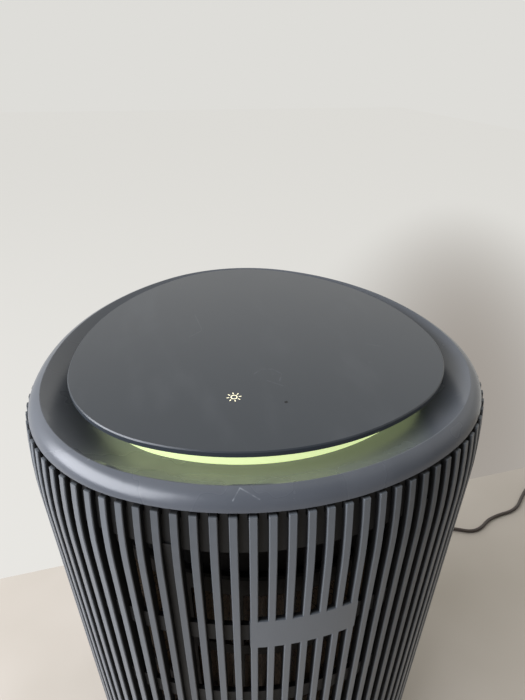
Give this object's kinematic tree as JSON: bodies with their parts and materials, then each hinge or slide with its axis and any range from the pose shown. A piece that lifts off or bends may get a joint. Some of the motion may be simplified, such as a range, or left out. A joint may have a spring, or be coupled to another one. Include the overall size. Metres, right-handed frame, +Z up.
{
  "type": "air purifier",
  "caption": "Free-standing tower air purifier with a three-lobed louvred body, lift-off rear cover, round pleated filter, top fan and a lit slot under a flat touch lid.",
  "frame": {"origin": "on the floor under the middle of the body's bounding box", "axes": "+Z up, -Y out of the front, +X to the right seen from the front"},
  "size_m": [0.8154, 0.4062, 0.522],
  "materials": {
    "grille_abs": "moulded satin slate ABS",
    "ring_abs": "moulded satin slate ABS",
    "lid_abs": "fine satin slate ABS",
    "light_acrylic": "frosted light guide, lit yellow-green",
    "icon_acrylic": "clear window, lit warm white",
    "dark_abs": "fine textured black ABS",
    "fan_plastic": "moulded",
    "rubber": "matt",
    "cord_pvc": "satin PVC",
    "nickel_brass": "bright nickel plate",
    "zinc_steel": "zinc plated",
    "winding": "enamelled copper",
    "circuit_board": "solder mask",
    "filter_paper": "pleated paper with carbon",
    "filter_plastic": "moulded",
    "foam": "open-cell foam",
    "tab_fabric": "woven tape"
  },
  "bodies": {
    "housing": {"base_tray": "dark_abs", "rubber_feet": "rubber", "seat_plate": "dark_abs", "base_screws": "zinc_steel", "power_supply": "circuit_board", "cord_gland": "cord_pvc", "left_pillar": "dark_abs", "right_pillar": "dark_abs", "wiring_harness": "cord_pvc", "pillar_screws": "zinc_steel", "deck_screws": "zinc_steel", "magnet_keepers": "zinc_steel", "front_grille": "grille_abs", "fan_deck": "dark_abs", "inlet_guard": "dark_abs", "fan_duct": "dark_abs", "fan_cover": "dark_abs", "diffuser": "dark_abs", "motor_can": "zinc_steel", "motor_cap": "zinc_steel", "motor_stator": "winding", "motor_bearings": "zinc_steel", "control_board": "circuit_board", "air_sensor": "dark_abs", "top_ring": "ring_abs", "light_guide": "light_acrylic", "light_board": "circuit_board", "outlet_vanes": "dark_abs", "lid_carrier": "dark_abs", "touch_board": "circuit_board", "light_icon": "icon_acrylic", "lid_plate": "lid_abs", "cord_lead": "cord_pvc", "cord_coil": "cord_pvc", "cord_tail": "cord_pvc", "plug_body": "cord_pvc", "plug_pins": "nickel_brass"},
    "fan_rotor": {"impeller": "fan_plastic", "impeller_nut": "zinc_steel", "motor_shaft": "zinc_steel", "motor_rotor": "zinc_steel"},
    "cover": {"rear_cover": "grille_abs", "cover_magnets": "nickel_brass"},
    "filter": {"filter_media": "filter_paper", "filter_cage": "filter_plastic", "filter_core": "filter_plastic", "filter_top_cap": "filter_plastic", "filter_bottom_cap": "filter_plastic", "filter_gasket": "foam", "filter_pull_tab": "tab_fabric"}
  },
  "joints": [
    {"name": "fan_spin", "type": "hinge", "parent": "housing", "child": "fan_rotor", "pos_m": [0, -0.0048, 0.46], "axis": [0, 0, 1], "continuous": true},
    {"name": "cover_pull", "type": "slide", "parent": "housing", "child": "cover", "axis": [0, 1, 0], "range_m": [0, 0.5]},
    {"name": "filter_pull", "type": "slide", "parent": "housing", "child": "filter", "axis": [0, 1, 0], "range_m": [0, 0.28]}
  ],
  "couplings": [
    {"joint": "filter_pull", "follows": "cover_pull", "ratio": 0.56}
  ]
}
